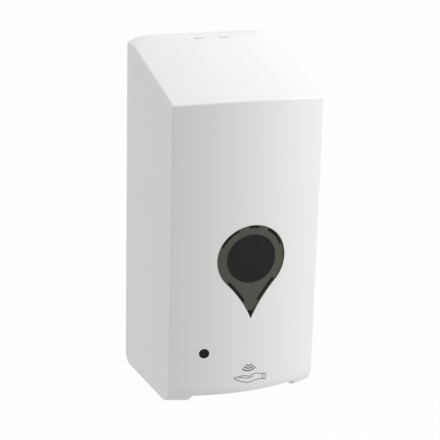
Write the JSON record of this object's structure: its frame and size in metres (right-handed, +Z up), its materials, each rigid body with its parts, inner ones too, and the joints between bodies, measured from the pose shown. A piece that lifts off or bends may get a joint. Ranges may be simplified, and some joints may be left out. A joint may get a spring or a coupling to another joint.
{
  "type": "automatic soap dispenser",
  "caption": "Wall-mounted automatic soap dispenser: hinged cover with drop-shaped sight window, refill tank, gear pump, motor drive and battery bay.",
  "frame": {"origin": "bottom centre of the back plate, on the wall plane", "axes": "+Z up, +Y into the wall, +X to the right of someone who faces the dispenser"},
  "size_m": [0.125, 0.1115, 0.275],
  "materials": {
    "cover_white": "glossy white ABS",
    "smoke_lens": "smoked transparent acrylic",
    "dark_lens": "dark infrared-pass acrylic",
    "chassis_white": "matt off-white ABS",
    "chassis_grey": "matt grey ABS",
    "tank_pe": "translucent natural polyethylene",
    "cap_blue": "matt blue polypropylene",
    "steel": "plain steel",
    "motor_can": "drawn steel can",
    "brass": "turned brass",
    "acetal": "white acetal",
    "pump_grey": "glass-filled nylon",
    "seal_rubber": "black rubber",
    "silicone": "silicone rubber",
    "circuit_board": "green solder mask",
    "clear_acrylic": "clear acrylic",
    "red_led": "red tinted epoxy",
    "dark_plastic": "black plastic",
    "cell_jacket": "printed-free foil jacket",
    "contact_metal": "nickel-plated spring steel",
    "latch_plastic": "orange acetal"
  },
  "bodies": {
    "base": {"back_plate": "chassis_white", "drive_housing": "chassis_grey", "drive_front_panel": "chassis_grey", "gear_plate": "chassis_white", "pump_body": "pump_grey", "pump_cover_plate": "pump_grey", "pump_gasket": "silicone", "inlet_duct": "pump_grey", "inlet_seal": "seal_rubber", "nozzle": "acetal", "motor": "motor_can", "batteries": "cell_jacket", "battery_contacts": "contact_metal", "control_board": "circuit_board", "indicator_led": "red_led", "light_guide": "clear_acrylic", "sensor_board": "circuit_board", "ir_emitter": "clear_acrylic", "ir_receiver": "dark_plastic", "sensor_window": "dark_lens", "power_socket": "dark_plastic", "switch_body": "dark_plastic", "latch_spring": "steel", "panel_screws": "steel", "pump_screws": "steel", "gear_plate_screws": "steel", "board_screws": "steel"},
    "cover": {"front_cover": "cover_white", "window_lens": "smoke_lens", "indicator_lens": "dark_lens", "hinge_pins": "steel"},
    "latch_slider": {"latch": "latch_plastic"},
    "tank_body": {"tank": "tank_pe", "tank_outlet": "acetal", "outlet_valve": "silicone"},
    "filler_cap": {"tank_cap": "cap_blue", "cap_gasket": "seal_rubber"},
    "door": {"battery_door": "chassis_grey"},
    "switch_slider": {"switch_knob": "dark_plastic"},
    "pump_drive": {"drive_gear": "acetal", "pump_shaft": "steel", "pump_drive_gear": "acetal"},
    "pump_idler": {"pump_idler_gear": "acetal", "idler_shaft": "steel"},
    "motor_rotor": {"motor_shaft": "steel", "motor_pinion": "brass"}
  },
  "joints": [
    {"name": "cover_hinge", "type": "hinge", "parent": "base", "child": "cover", "pos_m": [0, -0.01, 0.01], "axis": [1, 0, 0], "range_deg": [0, 90]},
    {"name": "latch_press", "type": "slide", "parent": "base", "child": "latch_slider", "axis": [0, 0, -1], "range_m": [0, 0.0035], "stiffness_N_per_m": 300, "springref_m": -0.002, "deforming": ["latch_spring"]},
    {"name": "tank_lift", "type": "slide", "parent": "base", "child": "tank_body", "axis": [0, 0, 1], "range_m": [0, 0.006]},
    {"name": "cap_turn", "type": "hinge", "parent": "tank_body", "child": "filler_cap", "pos_m": [0, -0.038, 0.24], "axis": [0, 0, 1], "range_deg": [0, 90]},
    {"name": "battery_door_slide", "type": "slide", "parent": "base", "child": "door", "axis": [0, 0, 1], "range_m": [0, 0.05]},
    {"name": "power_switch_slide", "type": "slide", "parent": "base", "child": "switch_slider", "axis": [1, 0, 0], "range_m": [0, 0.003]},
    {"name": "pump_spin", "type": "hinge", "parent": "base", "child": "pump_drive", "pos_m": [-0.0075, -0.057, 0.04], "axis": [0, -1, 0], "continuous": true},
    {"name": "idler_spin", "type": "hinge", "parent": "base", "child": "pump_idler", "pos_m": [0.0075, -0.057, 0.04], "axis": [0, -1, 0], "continuous": true},
    {"name": "motor_spin", "type": "hinge", "parent": "base", "child": "motor_rotor", "pos_m": [-0.0315, -0.044, 0.04], "axis": [0, -1, 0], "continuous": true}
  ],
  "couplings": [
    {"joint": "idler_spin", "follows": "pump_spin", "ratio": -1},
    {"joint": "motor_spin", "follows": "pump_spin", "ratio": -3}
  ]
}
